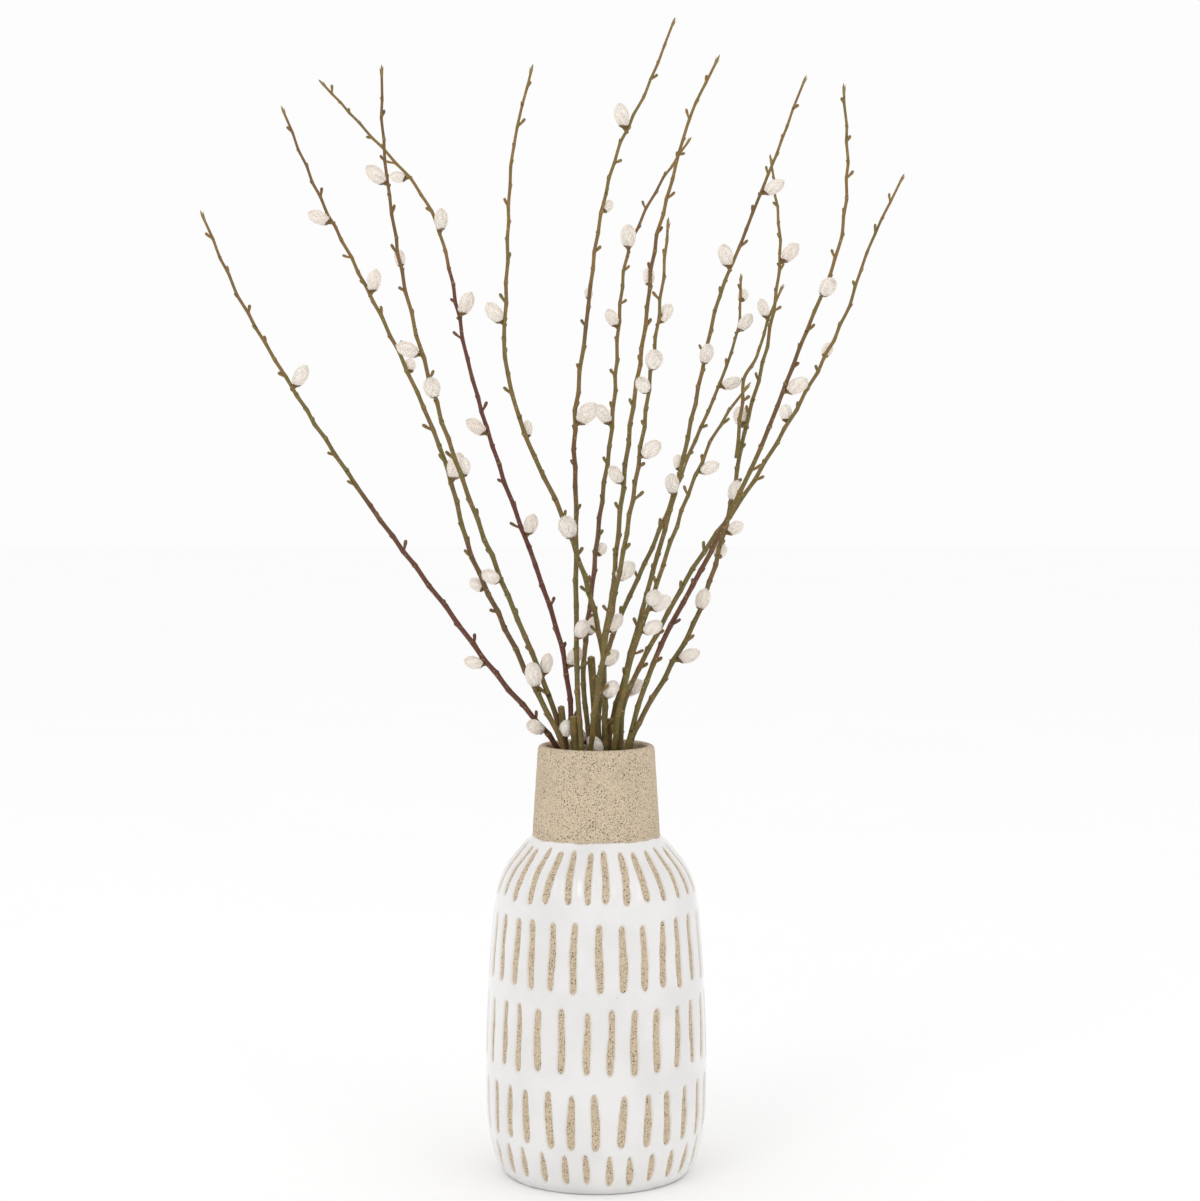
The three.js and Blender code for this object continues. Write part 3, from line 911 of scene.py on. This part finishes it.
def pot_outline(vase):
    """The pot's (radius, height) points, from under its foot over the lip to the middle of its floor."""
    side = outer_profile(POT_ROWS)
    sunk = side - profile_normals(side) * (vase.glaze_thickness / MM)
    sunk[:, 1] = np.maximum(sunk[:, 1], 0.0)
    keep = side[:, 1] < CREASE_HEIGHT - 1.2
    outline = [(0.0, 0.0), (25.0, 0.0), (50.0, 0.0), (60.5, 0.0)]
    outline += [tuple(point) for point in sunk[keep][1:]]
    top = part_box("vase_neck")[1].z / MM
    crease = OUTER_SIDE[-1][0]
    for way in np.linspace(0, 1, 22):
        outline.append((crease + (LIP_RADIUS - crease) * way,
                        CREASE_HEIGHT - 1.0 + (top - LIP_ROUNDING - CREASE_HEIGHT + 1.0) * way))
    for angle in np.linspace(0, math.pi, 13)[1:]:
        outline.append((LIP_RADIUS - LIP_ROUNDING + LIP_ROUNDING * math.cos(angle),
                        top - LIP_ROUNDING + LIP_ROUNDING * math.sin(angle)))
    inside = spline(INNER_SIDE, 56)
    neck_inside = LIP_RADIUS - 2 * LIP_ROUNDING
    for way in np.linspace(0, 1, 12)[1:-1]:
        outline.append((neck_inside + (inside[0][0] - neck_inside) * way,
                        top - LIP_ROUNDING + (inside[0][1] - top + LIP_ROUNDING) * way))
    outline += [tuple(point) for point in inside]
    outline += [(30.0, FLOOR_THICKNESS + 0.4), (12.0, FLOOR_THICKNESS), (0.0, FLOOR_THICKNESS)]
    return outline


def clay_pot(vase):
    """The whole thrown pot: sunk body under the glaze, bare neck, lip, inside and floor."""
    angles = np.arange(POT_COLUMNS) * TURN / POT_COLUMNS
    outline = pot_outline(vase)
    vertices = [np.array([[0.0, 0.0, outline[0][1]]])]
    for radius, height in outline[1:-1]:
        throwing = 0.10 * np.sin(2 * angles + height * 0.045) + 0.06 * math.sin(height * 0.42)
        throwing = throwing * smoothstep(2.0, 12.0, height)
        vertices.append(ring_points(radius + throwing, height, angles))
    vertices.append(np.array([[0.0, 0.0, outline[-1][1]]]))
    return np.vstack(vertices), closed_faces(len(outline) - 2, POT_COLUMNS)


class WILLOW_OT_vase(Operator):
    """Make the thrown stoneware pot and its thick dashed glaze"""

    bl_idname = "willow.make_vase"
    bl_label = "Vase"

    def execute(self, context):
        vase = settings().vase
        widest = max(radius for radius, _ in OUTER_SIDE) * MM
        if abs(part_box("vase_body")[1].x - widest) > 1.5 * MM:
            raise RuntimeError("the pot's outline no longer matches the frame's vase")
        vertices, faces = clay_pot(vase)
        pot = new_mesh("vase_clay", vertices, faces, [clay_finish()])
        new_piece("vase_clay", pot, ["vase_neck", "vase_body"])
        vertices, faces, tones = glaze_skin(vase)
        skin = new_mesh("vase_glaze", vertices, faces, [glaze_finish()], tones=tones)
        new_piece("vase_glaze", skin, ["vase_body"])
        return {"FINISHED"}


# ---------------------------------------------------------------------------
# Rods and shoots
# ---------------------------------------------------------------------------


ROD_SIDES = 14
SCAR_SIDES = 6
SHOOT_SIDES = 10
BUD_SIDES = 8
TWIG_GIRTH = 0.74         # the thin side twig's girth, against a shoot's
TIP_LENGTH = 7.0          # left at a shoot's end for its tip
BARE_HEIGHT = 300.0       # below this a shoot is rubbed bare of buds and scales
BUD_CHANCE = 0.8          # that a free node bears a bud
BUD_CLEARANCE = 6.5       # least distance along the shoot from a bud to a catkin
RED_BLEND = 18.0          # how gradually a burgundy stretch begins and ends


def bark_tones(heights, reds, random):
    """Red, young and tip shares of the bark's colour at each height; the tip's is left for the buds."""
    wobble = random.uniform(0, TURN, 3)
    drift = 14 * np.sin(heights * 0.05 + wobble[0]) + 8 * np.sin(heights * 0.13 + wobble[1])
    place = heights + drift
    red = np.zeros_like(heights)
    for low, high, share in reds:
        begun = smoothstep(low - RED_BLEND, low + RED_BLEND, place)
        red = np.maximum(red, share * (begun * smoothstep(high + RED_BLEND, high - RED_BLEND, place)))
    young = smoothstep(380, 720, place) * 0.9
    return np.column_stack([red * 0.92, young, np.zeros_like(heights), np.ones_like(heights)])


def make_rod(name, rod, bark, cut):
    """A rod with swollen knots, a bevelled cut top and old leaf scars."""
    random = np.random.default_rng(100 + int(name[-1]))
    curve = route_curve(rod["route"])
    length = curve_length(curve)
    distances = np.linspace(0, length, int(length / 3.0))
    path, along = resample(curve, distances)
    knots = np.sin(distances * TURN / 31.0 + random.uniform(0, TURN))
    radii = rod["radius"] * (1.05 - 0.07 * distances / length + 0.05 * np.clip(knots, 0.4, 1.0))
    for axis in range(2):
        sway = np.sin(distances / 23.0 + random.uniform(0, TURN))
        path[:, axis] += 0.35 * sway * smoothstep(0, 30, distances)
    tones = bark_tones(path[:, 2], [], random)
    builder = Builder()
    builder.tube(path, radii, ROD_SIDES, tones)
    # The cut: a bevelled, slightly domed end of bare wood.
    end = path[-1]
    top = along[-1]
    bevel = np.array([end, end + top * 0.5, end + top * 0.9])
    shades = np.repeat(tones[-1:], 3, axis=0)
    builder.tube(bevel, radii[-1] * np.array([0.985, 0.90, 0.62]), ROD_SIDES, shades, index=1)
    # Old leaf scars: small ridges half way round the rod.
    for distance in np.arange(45.0, length - 10, 31.0):
        place, direction = resample(curve, np.array([distance]))
        outward = outward_from(direction[0], random.uniform(0, 360))
        other = np.cross(direction[0], outward)
        arc = np.linspace(-1.1, 1.1, 9)
        ridge = [place[0] + (outward * math.cos(a) + other * math.sin(a)) * rod["radius"] * 1.02
                 + direction[0] * 0.5 * math.cos(a) for a in arc]
        sizes = 0.42 * np.cos(arc * 1.25) + 0.08
        shades = bark_tones(np.full(len(arc), place[0][2]), [], random)
        builder.tube(ridge, sizes, SCAR_SIDES, shades, across=direction[0])
    mesh = new_mesh(f"{name}_bark", builder.vertices, builder.faces, [bark, cut], builder.indices,
                    tones=builder.tones)
    new_piece(f"{name}_bark", mesh, [name])


class WILLOW_OT_rods(Operator):
    """Make the thick cut rods that stand in the vase"""

    bl_idname = "willow.make_rods"
    bl_label = "Rods"

    def execute(self, context):
        bark = bark_finish("rod_bark", 0.62)
        cut = cut_wood_finish()
        for name, rod in RODS.items():
            make_rod(name, rod, bark, cut)
        return {"FINISHED"}


def shoot_nodes(length, spacing, random):
    """Distances of a shoot's nodes from its foot, a little uneven, closer towards the tip."""
    places = []
    distance = spacing * 0.8
    while distance < length - 12.0:
        places.append(distance)
        closer = 1.12 - 0.30 * distance / length
        distance += spacing * closer * random.uniform(0.78, 1.22)
    return np.array(places)


def distance_at_height(curve, height):
    return float(np.interp(height, curve[:, 2], lengths_along(curve)))


def kinked_path(curve, distances, places, kink, random):
    """The route, stepping a little aside at each node as willow does."""
    path, along = resample(curve, distances)
    offsets = [np.zeros(3)]
    bearing = random.uniform(0, 360)
    for place in places:
        direction = resample(curve, np.array([place]))[1][0]
        size = kink * random.uniform(0.55, 1.25)
        offsets.append(outward_from(direction, bearing) * size)
        bearing += 180 + random.uniform(-38, 38)
    offsets.append(np.zeros(3))
    knots = np.concatenate([[0], places, [curve_length(curve)]])
    return path + at_lengths(distances, knots, np.array(offsets)), along


def add_bud(builder, place, direction, outward, radius, length, lean, tones, plump):
    """An empty bud on a short spur: a stalk that swells into a rounded, slightly hooked head."""
    ways = np.array([0.0, 0.18, 0.36, 0.54, 0.70, 0.83, 0.93, 0.985, 1.0])
    girths = np.array([0.78, 0.72, 0.74, 0.90, 1.0, 0.98, 0.80, 0.48, 0.22]) * plump
    start = unit(direction * math.cos(lean) + outward * math.sin(lean))
    finish = unit(direction * math.cos(lean * 0.72) + outward * math.sin(lean * 0.72))
    path = [place + outward * radius * 0.2]
    for low, high in zip(ways[:-1], ways[1:]):
        heading = unit(start + (finish - start) * high)
        path.append(path[-1] + heading * (high - low) * length)
    builder.tube(np.array(path), girths, BUD_SIDES, np.repeat(tones, len(path), axis=0))


def add_scale(builder, place, direction, outward, radius, length, tones):
    """A small pointed scale that clasps the shoot above a node."""
    other = np.cross(direction, outward)
    columns, rows = 5, 4
    vertices = []
    for stand_off in (0.13, -0.12):
        for row in range(rows):
            way = row / (rows - 1)
            width = 1.15 * (1 - way ** 1.6) + 0.06
            lift = 0.05 + 0.5 * way ** 1.5
            for column in range(columns):
                angle = (column / (columns - 1) - 0.5) * 2 * width
                reach = radius * 1.01 + lift + stand_off * (1 - 0.6 * way)
                spot = place + (outward * math.cos(angle) + other * math.sin(angle)) * reach
                vertices.append(spot + direction * (way * length - 0.4))
    half = rows * columns
    faces = []
    for row in range(rows - 1):
        for column in range(columns - 1):
            a = row * columns + column
            faces.append((a, a + 1, a + columns + 1, a + columns))
            faces.append((half + a, half + a + columns, half + a + columns + 1, half + a + 1))
    rim = list(range(columns))
    rim += [row * columns + columns - 1 for row in range(1, rows)]
    rim += [(rows - 1) * columns + column for column in range(columns - 2, -1, -1)]
    rim += [row * columns for row in range(rows - 2, 0, -1)]
    for a, b in zip(rim, rim[1:] + rim[:1]):
        faces.append((b, a, half + a, half + b))
    builder.add(vertices, faces, np.repeat(tones, len(vertices), axis=0))


def shoot_bearings(count, random):
    """Bearings of a shoot's nodes: willow sets five of them in two turns."""
    return (np.arange(count) * 144.0 + random.uniform(0, 360)) % 360


def make_shoot(name, shoot, sizes, bark):
    """A kinked shoot with its buds, scales and tip."""
    random = np.random.default_rng(200 + ord(name[-1]))
    curve = route_curve(shoot["route"])
    length = curve_length(curve)
    base = sizes.base_radius / MM * (TWIG_GIRTH if "twig" in shoot else 1.0)
    tip = sizes.tip_radius / MM
    places = shoot_nodes(length, sizes.node_spacing / MM, random)
    rings = np.linspace(0, length - TIP_LENGTH, int(length / 2.2))
    distances = np.unique(np.concatenate([rings, places]))
    path, along = kinked_path(curve, distances, places, sizes.kink / MM, random)
    way = distances / length
    radii = base + (tip - base) * way ** GIRTH_FALL
    gap = np.abs(distances[:, None] - places[None, :]).min(axis=1)
    radii = radii * (1 + 0.13 * np.exp(-(gap / 2.0) ** 2))
    tones = bark_tones(path[:, 2], shoot["red"], random)
    builder = Builder()
    builder.tube(path, radii, SHOOT_SIDES, tones)
    catkins = [distance_at_height(curve, catkin[0]) for catkin in shoot["catkins"]]
    bearings = shoot_bearings(len(places), random)
    since_bud = 2
    for place, bearing in zip(places, bearings):
        index = int(np.searchsorted(distances, place))
        spot, direction, girth = path[index], along[index], radii[index]
        since_bud += 1
        if spot[2] < BARE_HEIGHT:
            continue
        tone = tones[index:index + 1]
        outward = outward_from(direction, bearing)
        crowded = min(abs(place - other) for other in catkins)
        if since_bud >= 2 and crowded > BUD_CLEARANCE and random.random() < BUD_CHANCE:
            since_bud = 0
            bud_tone = tone + np.array([[0.0, 0.12, 0.28 * random.random(), 0.0]])
            size = sizes.bud_length / MM * random.uniform(0.72, 1.12) * (1 - 0.30 * place / length)
            lean = math.radians(random.uniform(34, 58))
            plump = sizes.bud_radius / MM * random.uniform(0.85, 1.05) * (1 - 0.22 * place / length)
            add_bud(builder, spot, direction, outward, girth, size, lean, bud_tone, plump)
        else:
            scale_tone = tone + np.array([[0.0, 0.15, 0.5, 0.0]])
            add_scale(builder, spot, direction, outward, girth, random.uniform(1.8, 3.0), scale_tone)
    add_tip(builder, path[-1], along[-1], radii[-1], tones[-1:], random)
    mesh = new_mesh(f"{name}_bark", builder.vertices, builder.faces, [bark], tones=builder.tones)
    new_piece(f"{name}_bark", mesh, [name])


def add_tip(builder, place, direction, radius, tone, random):
    """The pointed bud at a shoot's end, with a few drawn-out scales round it."""
    greenish = tone + np.array([[0.0, 0.1, 0.75, 0.0]])
    ways = np.array([-1.0, 0.0, 1.4, 3.2, 5.2, 6.8, 7.8])
    girths = radius * np.array([0.9, 1.0, 1.16, 1.18, 0.92, 0.5, 0.14])
    path = [place + direction * way for way in ways]
    builder.tube(np.array(path), girths, BUD_SIDES, np.repeat(greenish, len(ways), axis=0))
    start = random.uniform(0, 360)
    for index in range(3):
        outward = outward_from(direction, start + 120 * index)
        spot = place + direction * (0.4 + 1.1 * index)
        reach = np.array([0.0, 1.1, 2.3, 3.4, 4.3])
        spread = 0.9 * radius + np.array([0.0, 0.10, 0.28, 0.55, 0.95])
        path = [spot + direction * a + outward * b for a, b in zip(reach, spread)]
        girths = radius * np.array([0.42, 0.40, 0.30, 0.18, 0.06])
        builder.tube(np.array(path), girths, 5, np.repeat(greenish, len(path), axis=0))


class WILLOW_OT_shoots(Operator):
    """Make the long shoots with their kinks, buds and scales"""

    bl_idname = "willow.make_shoots"
    bl_label = "Shoots"

    def execute(self, context):
        bark = bark_finish()
        for name, shoot in SHOOTS.items():
            top = shoot["route"][-1][2] * MM
            if abs(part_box(name)[1].z - top) > 6 * MM:
                raise RuntimeError(f"{name}'s route no longer matches the frame")
            make_shoot(name, shoot, settings().shoot, bark)
        return {"FINISHED"}


# ---------------------------------------------------------------------------
# Catkins
# ---------------------------------------------------------------------------

CATKIN_LENGTH = 14.0      # of the meshes that the catkins share
CATKIN_KINDS = 8
CATKIN_LEAN = 40.0
CATKIN_STAND_OFF = 0.8    # from the bark, and as far up the shoot
CATKIN_GROWTH = 1.1       # the furry shape with its hairs, against the bare egg in the frame
SMALL_CATKIN = 14         # catkins shorter than this have no node of their own


def catkin_radius(way, fat):
    """Radius of the furry body at a share of its length: full low down, drawn in to a blunt point."""
    return fat * np.sqrt(np.clip(way, 0, 1)) ** 0.9 * np.clip(1 - way ** 2.6, 0, 1) ** 0.62 * 1.32


def catkin_body(builder, fat, random):
    """The lumpy furry body, closed at both ends."""
    rows, columns = 17, 24
    lumps = random.uniform(0, TURN, 6)
    vertices = [np.array([0.0, 0.0, 0.0])]
    for row in range(1, rows):
        way = row / rows
        for column in range(columns):
            angle = column * TURN / columns
            coarse = 0.035 * math.sin(5 * angle + lumps[0] + 9 * way)
            fine = 0.03 * math.sin(9 * angle + lumps[1] - 14 * way)
            radius = float(catkin_radius(way, fat)) * (1 + coarse + fine)
            spot = (radius * math.cos(angle), radius * math.sin(angle), way * CATKIN_LENGTH)
            vertices.append(np.array(spot))
    vertices.append(np.array([0.0, 0.0, CATKIN_LENGTH]))
    builder.add(vertices, closed_faces(rows - 1, columns), np.zeros((len(vertices), 4)))


def catkin_hairs(builder, fat, count, reach, random):
    """Silky hairs that sweep from the body up towards its point."""
    golden = math.pi * (3 - math.sqrt(5))
    for index in range(count):
        way = 0.04 + 0.95 * ((index + 0.5) / count) ** 0.92
        angle = index * golden + random.normal(0, 0.12)
        radius = float(catkin_radius(way, fat)) * 0.97
        slope = float(catkin_radius(min(way + 0.02, 1.0), fat) - catkin_radius(way - 0.02, fat))
        tangent = unit(np.array([slope, 0.0, 0.04 * CATKIN_LENGTH]))
        normal = np.array([tangent[2], 0.0, -tangent[0]])
        stand = random.uniform(0.05, 0.30)
        heading = unit(tangent * (1 - 0.35 * stand) + normal * stand)
        heading = unit(heading + np.array([0.0, random.normal(0, 0.16), 0.0]))
        cosine, sine = math.cos(angle), math.sin(angle)
        turn = np.array([[cosine, -sine, 0], [sine, cosine, 0], [0, 0, 1]])
        root = turn @ np.array([radius, 0.0, way * CATKIN_LENGTH])
        heading = turn @ heading
        up = turn @ tangent
        length = reach * random.uniform(0.65, 1.15) * (1 - 0.25 * way)
        middle = root + heading * length * 0.5
        tip = middle + unit(heading + 0.35 * up) * length * 0.5
        side = unit(np.cross(heading, turn @ normal) + 1e-6)
        other = np.cross(heading, side)
        vertices = []
        for spot, girth in ((root, 0.14), (middle, 0.10)):
            for corner in range(3):
                a = corner * TURN / 3
                vertices.append(spot + (side * math.cos(a) + other * math.sin(a)) * girth)
        vertices.append(tip)
        faces = [(0, 2, 1)]
        for corner in range(3):
            after = (corner + 1) % 3
            faces.append((corner, after, 3 + after, 3 + corner))
            faces.append((3 + corner, 3 + after, 6))
        builder.add(vertices, faces, np.zeros((7, 4)))


def catkin_cup(builder, fat):
    """The bud scale: a thin hood that cups the catkin's foot and rises to a point on one side."""
    columns, rows = 20, 8
    vertices = []
    for shell in (0, 1):
        for row in range(rows):
            for column in range(columns):
                angle = column * TURN / columns
                rise = 0.05 + 0.10 * (0.5 + 0.5 * math.cos(angle)) ** 2.2
                way = 0.012 + rise * row / (rows - 1)
                radius = float(catkin_radius(way, fat)) + (0.34 if shell == 0 else 0.08)
                radius += 0.25 * (row / (rows - 1)) ** 3
                vertices.append(np.array([radius * math.cos(angle), radius * math.sin(angle),
                                          way * CATKIN_LENGTH - (0.35 if shell == 0 else 0.0)]))
    half = rows * columns
    faces = grid_faces(rows, columns)
    faces += [tuple(reversed(face)) for face in grid_faces(rows, columns, half)]
    top = (rows - 1) * columns
    for column in range(columns):
        after = (column + 1) % columns
        faces.append((top + column, top + after, half + top + after, half + top + column))
        faces.append((after, column, half + column, half + after))
    builder.add(vertices, faces, np.zeros((len(vertices), 4)), index=1)


def catkin_stalk(builder):
    """The short spur between shoot and catkin."""
    path = [(-1.2, 0, -3.4), (-0.7, 0, -2.5), (-0.25, 0, -1.5), (0, 0, -0.5), (0, 0, 0.3), (0, 0, 0.9)]
    girths = [1.1, 1.0, 0.95, 1.12, 1.4, 1.2]
    builder.tube(path, girths, 9, np.zeros((len(path), 4)), index=2)


def catkin_mesh(kind, catkin, materials):
    """One of the meshes that the catkins share; its hairs are too thin to be smooth-shaded."""
    random = np.random.default_rng(900 + kind)
    fat = catkin.fatness * CATKIN_LENGTH * random.uniform(0.94, 1.08)
    builder = Builder()
    catkin_body(builder, fat, random)
    first_hair = len(builder.faces)
    catkin_hairs(builder, fat, catkin.hairs, catkin.hair_length / MM, random)
    hairs = slice(first_hair, len(builder.faces))
    catkin_cup(builder, fat)
    catkin_stalk(builder)
    return new_mesh(f"catkin_kind_{kind}", builder.vertices, builder.faces, materials, builder.indices,
                    flat=hairs)


def catkin_placement(curve, girth, height, bearing, length, lean=CATKIN_LEAN):
    """The matrix that stands a catkin on its shoot's bark."""
    distance = distance_at_height(curve, height)
    place, along = resample(curve, np.array([distance]))
    place, along = place[0], along[0]
    outward = outward_from(along, bearing)
    lean = math.radians(lean)
    direction = along * math.cos(lean) + outward * math.sin(lean)
    foot = place + outward * (girth + CATKIN_STAND_OFF) + along * CATKIN_STAND_OFF
    across = unit(outward - direction * outward.dot(direction))
    other = np.cross(direction, across)
    size = CATKIN_GROWTH * length / CATKIN_LENGTH
    matrix = Matrix.Identity(4)
    for column, axis in enumerate((across, other, direction)):
        for row in range(3):
            matrix[row][column] = axis[row] * size
    for row in range(3):
        matrix[row][3] = foot[row] * MM
    return matrix


class WILLOW_OT_catkins(Operator):
    """Make the furry catkins on their shoots"""

    bl_idname = "willow.make_catkins"
    bl_label = "Catkins"

    def execute(self, context):
        catkin = settings().catkin
        sizes = settings().shoot
        materials = [down_finish(), scale_finish(), bark_finish("spur_bark", 0.55)]
        kinds = [catkin_mesh(kind, catkin, materials) for kind in range(CATKIN_KINDS)]
        count = 0
        for name, shoot in SHOOTS.items():
            curve = route_curve(shoot["route"])
            whole = curve_length(curve)
            large = small = 0
            for height, bearing, length, *lean in shoot["catkins"]:
                way = distance_at_height(curve, height) / whole
                thinning = (sizes.tip_radius - sizes.base_radius) * way ** GIRTH_FALL
                girth = (sizes.base_radius + thinning) / MM
                if length < SMALL_CATKIN:
                    small += 1
                    label = f"small_catkin_{name[-1]}{small}"
                    stands_for = []
                else:
                    large += 1
                    label = f"furry_catkin_{name[-1]}{large}"
                    stands_for = [f"catkin_{name[-1]}{large}"]
                place = catkin_placement(curve, girth, height, bearing, length, *lean)
                new_piece(label, kinds[count % CATKIN_KINDS], stands_for, place)
                count += 1
        return {"FINISHED"}


# ---------------------------------------------------------------------------
# Panel and registration
# ---------------------------------------------------------------------------


class WillowSettings(PropertyGroup):
    vase: PointerProperty(type=VaseSettings)
    shoot: PointerProperty(type=ShootSettings)
    catkin: PointerProperty(type=CatkinSettings)
    stage: PointerProperty(type=StageSettings)


STEPS = (WILLOW_OT_stage, WILLOW_OT_vase, WILLOW_OT_rods, WILLOW_OT_shoots, WILLOW_OT_catkins)


class WILLOW_PT_panel(Panel):
    """Lists the pieces in the order they are made"""

    bl_idname = "WILLOW_PT_panel"
    bl_label = "Willow Stems"
    bl_space_type = "VIEW_3D"
    bl_region_type = "UI"
    bl_category = "Willow"

    def draw(self, context):
        for step in STEPS:
            self.layout.operator(step.bl_idname)
        for group in (settings().vase, settings().shoot, settings().catkin, settings().stage):
            box = self.layout.box()
            for name in group.bl_rna.properties.keys():
                if name not in {"rna_type", "name"}:
                    box.prop(group, name)


GROUPS = (VaseSettings, ShootSettings, CatkinSettings, StageSettings, WillowSettings)
CLASSES = (*GROUPS, *STEPS, WILLOW_PT_panel)


def register():
    for item in CLASSES:
        bpy.utils.register_class(item)
    bpy.types.Scene.willow_settings = PointerProperty(type=WillowSettings)


def unregister():
    del bpy.types.Scene.willow_settings
    for item in reversed(CLASSES):
        bpy.utils.unregister_class(item)


def main():
    register()
    bpy.ops.willow.make_stage()
    bpy.ops.willow.make_vase()
    bpy.ops.willow.make_rods()
    bpy.ops.willow.make_shoots()
    bpy.ops.willow.make_catkins()


if __name__ == "__main__":
    main()
